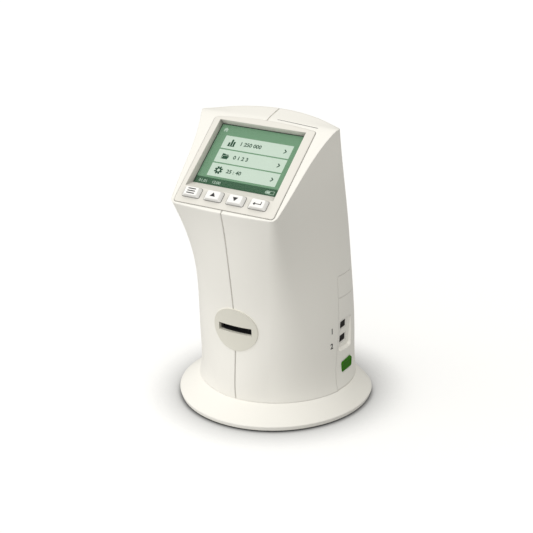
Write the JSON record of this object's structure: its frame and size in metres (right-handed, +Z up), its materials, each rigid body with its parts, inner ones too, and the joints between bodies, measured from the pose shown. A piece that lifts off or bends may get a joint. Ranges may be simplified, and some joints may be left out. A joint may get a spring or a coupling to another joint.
{
  "type": "automated cell counter",
  "caption": "Desktop instrument: leaning tower on a flared round foot, slanted screen with keys, slide slot in front, ports and a power button at the side, focusing microscope inside.",
  "frame": {"origin": "on the table, under the middle of the whole object's outline", "axes": "+X to the right of someone facing the instrument, where its ports are; -Y is its front, with the slide slot and the screen; +Z is up"},
  "size_m": [0.1698, 0.1728, 0.2551],
  "materials": {
    "case": "fine satin moulded plastic, warm white",
    "bezel": "fine satin, cream",
    "keycap": "smooth satin",
    "disc": "fine satin, light grey-beige",
    "window": "clear, polished",
    "screen": "display image",
    "green": "satin, deep green",
    "rubber": "matt",
    "steel": "ground",
    "zinc": "bright zinc plate",
    "port_metal": "bright plated sheet",
    "port_black": "moulded",
    "board": "solder mask",
    "chip": "moulded package",
    "socket": "moulded",
    "black_metal": "black anodised",
    "alloy": "machined",
    "brass": "turned",
    "lens": "polished and coated",
    "lamp": "clear resin",
    "ribbon": "flat cable"
  },
  "bodies": {
    "instrument": {"base_skirt": "case", "base_plate": "case", "rubber_feet": "rubber", "base_screws": "zinc", "left_case_shell": "case", "right_case_shell": "case", "display_bezel": "bezel", "display_window": "window", "display_panel": "screen", "display_tray": "port_black", "display_tray_screws": "zinc", "display_ribbon": "ribbon", "key_board": "board", "key_switches": "chip", "small_screws": "zinc", "slot_disc": "disc", "slide_guide": "port_black", "slide_stage": "black_metal", "slide_rails": "black_metal", "slide_stop": "port_black", "optics_frame": "alloy", "optics_frame_screws": "zinc", "motor_bracket": "alloy", "stage_bolts": "zinc", "focus_motor": "black_metal", "guide_rods": "steel", "lamp_barrel": "black_metal", "condenser_lens": "lens", "lamp_board": "board", "lamp": "lamp", "main_board": "board", "board_spacers": "brass", "main_board_screws": "zinc", "board_chips": "chip", "board_sockets": "socket", "upper_side_panel": "case", "port_panel": "case", "port_board": "board", "port_shells": "port_metal", "port_tongues": "port_black", "power_switch": "chip", "inlet_panel": "case", "inlet_jack": "port_black", "inlet_pin": "zinc"},
    "menu_key_body": {"menu_key": "keycap"},
    "up_key_body": {"up_key": "keycap"},
    "down_key_body": {"down_key": "keycap"},
    "enter_key_body": {"enter_key": "keycap"},
    "power_button_body": {"power_button": "green"},
    "focus_screw_body": {"lead_screw": "steel", "shaft_coupling": "alloy", "motor_shaft": "steel"},
    "focus_carriage_body": {"focus_carriage": "alloy", "carriage_bushes": "brass", "lead_nut": "brass", "objective_barrel": "black_metal", "objective_lens": "lens", "camera_tube": "black_metal", "camera_board": "board", "image_sensor": "chip"}
  },
  "joints": [
    {"name": "menu_press", "type": "slide", "parent": "instrument", "child": "menu_key_body", "axis": [0, 0.6406, -0.7678], "range_m": [0, 0.0008], "stiffness_N_per_m": 400},
    {"name": "up_press", "type": "slide", "parent": "instrument", "child": "up_key_body", "axis": [0, 0.6406, -0.7678], "range_m": [0, 0.0008], "stiffness_N_per_m": 400},
    {"name": "down_press", "type": "slide", "parent": "instrument", "child": "down_key_body", "axis": [0, 0.6406, -0.7678], "range_m": [0, 0.0008], "stiffness_N_per_m": 400},
    {"name": "enter_press", "type": "slide", "parent": "instrument", "child": "enter_key_body", "axis": [0, 0.6406, -0.7678], "range_m": [0, 0.0008], "stiffness_N_per_m": 400},
    {"name": "power_press", "type": "slide", "parent": "instrument", "child": "power_button_body", "axis": [-1, 0, 0], "range_m": [0, 0.002], "stiffness_N_per_m": 300},
    {"name": "focus_screw_turn", "type": "hinge", "parent": "instrument", "child": "focus_screw_body", "pos_m": [0, -0.00314, 0.06], "axis": [0, 0, 1], "range_deg": [-900, 900]},
    {"name": "focus_travel", "type": "slide", "parent": "instrument", "child": "focus_carriage_body", "axis": [0, 0, 1], "range_m": [-0.0025, 0.0025]}
  ],
  "couplings": [
    {"joint": "focus_screw_turn", "follows": "focus_travel", "rad_per_m": 6283}
  ]
}
